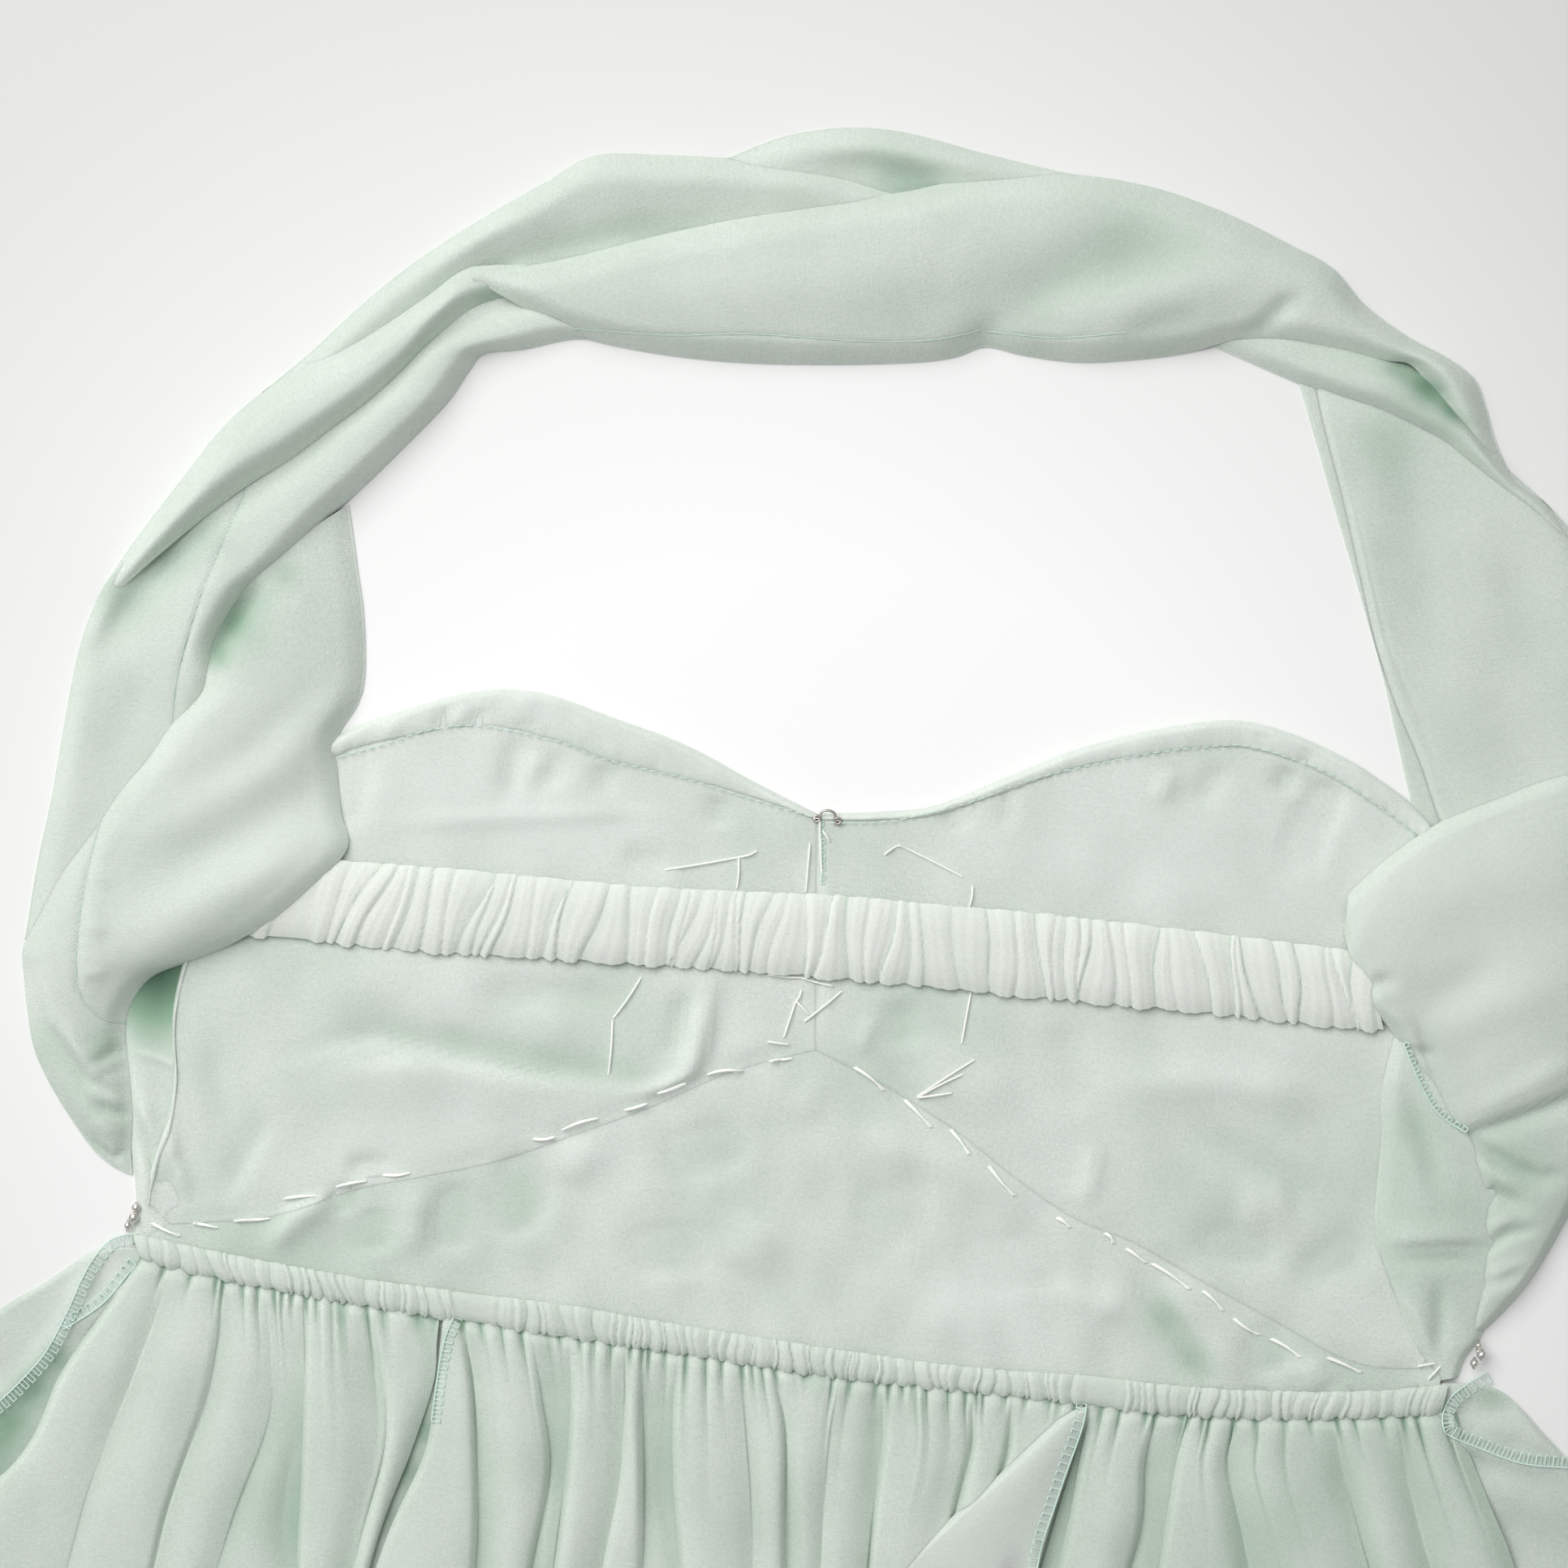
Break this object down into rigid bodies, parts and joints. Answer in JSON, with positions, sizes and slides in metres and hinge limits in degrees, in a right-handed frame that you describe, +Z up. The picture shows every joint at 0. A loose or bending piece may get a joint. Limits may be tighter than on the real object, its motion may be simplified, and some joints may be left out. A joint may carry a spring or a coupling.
{
  "type": "ruffled midi dress",
  "caption": "Mint crepe chiffon midi dress with an open back, a twisted shoulder drape, a gathered waist and a hem ruffle, laid flat.",
  "frame": {"origin": "middle of the dress's outline, on the floor that it lies on", "axes": "+Y from the hem towards the neck, +X across the dress to the right with the open back up, +Z up from the floor"},
  "size_m": [0.77, 1.086, 0.0134],
  "materials": {
    "bodice_crepe": "matt crepe, pale mint green",
    "elastic_crepe": "matt crepe over elastic, pale mint green",
    "skirt_crepe": "matt crepe, pale mint green",
    "drape_crepe": "matt crepe, pale mint green",
    "hook_steel": "dark bent wire",
    "bead_silver": "small polished bead"
  },
  "bodies": {
    "root": {"bodice_front_left": "bodice_crepe", "bodice_front_right": "bodice_crepe", "neck_facing_left": "bodice_crepe", "neck_facing_right": "bodice_crepe", "midriff_inset": "bodice_crepe", "side_panel_left": "bodice_crepe", "side_panel_right": "bodice_crepe", "back_band": "elastic_crepe", "waist_casing": "elastic_crepe", "skirt_front": "skirt_crepe", "skirt_back_left": "skirt_crepe", "skirt_back_centre": "skirt_crepe", "skirt_back_right": "skirt_crepe", "hem_ruffle_back": "skirt_crepe", "hem_ruffle_front": "skirt_crepe", "drape_left_root": "drape_crepe", "drape_left_back": "drape_crepe", "drape_left_roll": "drape_crepe", "drape_left_inner": "drape_crepe", "drape_left_upper": "drape_crepe", "drape_top_back": "drape_crepe", "drape_top_front": "drape_crepe", "drape_right_strand": "drape_crepe", "drape_right_fall": "drape_crepe", "drape_right_root": "drape_crepe", "neck_hook": "hook_steel", "bead_left": "bead_silver", "bead_right": "bead_silver"}
  },
  "joints": []
}
